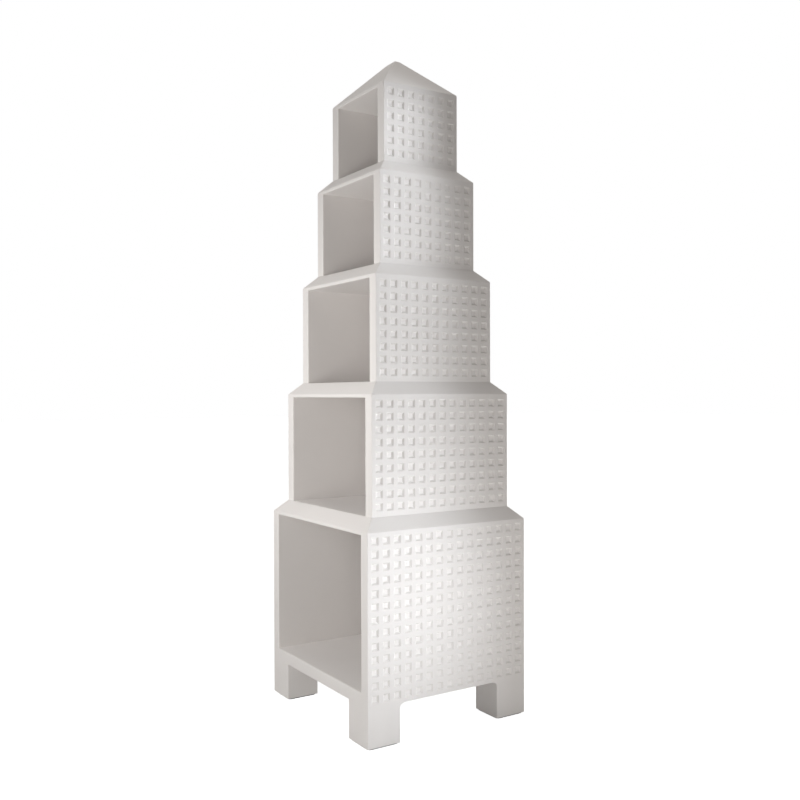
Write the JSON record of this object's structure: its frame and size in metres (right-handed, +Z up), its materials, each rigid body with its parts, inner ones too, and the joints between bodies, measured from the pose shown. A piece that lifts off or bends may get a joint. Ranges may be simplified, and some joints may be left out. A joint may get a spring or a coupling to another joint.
{
  "type": "tower bookcase",
  "caption": "Stepped tower bookcase: open bays that shrink tier by tier, sides with sunk square windows, sloped shoulders, a hip roof and block legs, in matt white lacquer.",
  "frame": {"origin": "on the floor, under the middle of the base", "axes": "+X to the right across the open front, +Y from the open front to the back, +Z up"},
  "size_m": [0.55, 0.507, 1.841],
  "materials": {
    "white_lacquer": "smooth board under matt white lacquer",
    "bare_beech": "bare planed beech",
    "dark_felt": "dense dark felt"
  },
  "bodies": {
    "root": {"foot_pad_front_left": "dark_felt", "foot_pad_front_right": "dark_felt", "foot_pad_back_left": "dark_felt", "foot_pad_back_right": "dark_felt", "leg_front_left": "white_lacquer", "leg_front_right": "white_lacquer", "leg_back_left": "white_lacquer", "leg_back_right": "white_lacquer", "leg_tenons": "bare_beech", "base_floor": "white_lacquer", "base_floor_tongues": "bare_beech", "tier_1_left_side": "white_lacquer", "tier_1_right_side": "white_lacquer", "tier_1_back": "white_lacquer", "tier_1_head_tongues": "bare_beech", "tier_1_top": "white_lacquer", "tier_2_foot_tongues": "bare_beech", "tier_2_left_side": "white_lacquer", "tier_2_right_side": "white_lacquer", "tier_2_back": "white_lacquer", "tier_2_head_tongues": "bare_beech", "tier_2_top": "white_lacquer", "tier_3_foot_tongues": "bare_beech", "tier_3_left_side": "white_lacquer", "tier_3_right_side": "white_lacquer", "tier_3_back": "white_lacquer", "tier_3_head_tongues": "bare_beech", "tier_3_top": "white_lacquer", "tier_4_foot_tongues": "bare_beech", "tier_4_left_side": "white_lacquer", "tier_4_right_side": "white_lacquer", "tier_4_back": "white_lacquer", "tier_4_head_tongues": "bare_beech", "tier_4_top": "white_lacquer", "tier_5_foot_tongues": "bare_beech", "tier_5_left_side": "white_lacquer", "tier_5_right_side": "white_lacquer", "tier_5_back": "white_lacquer", "tier_5_head_tongues": "bare_beech", "roof": "white_lacquer"}
  },
  "joints": []
}
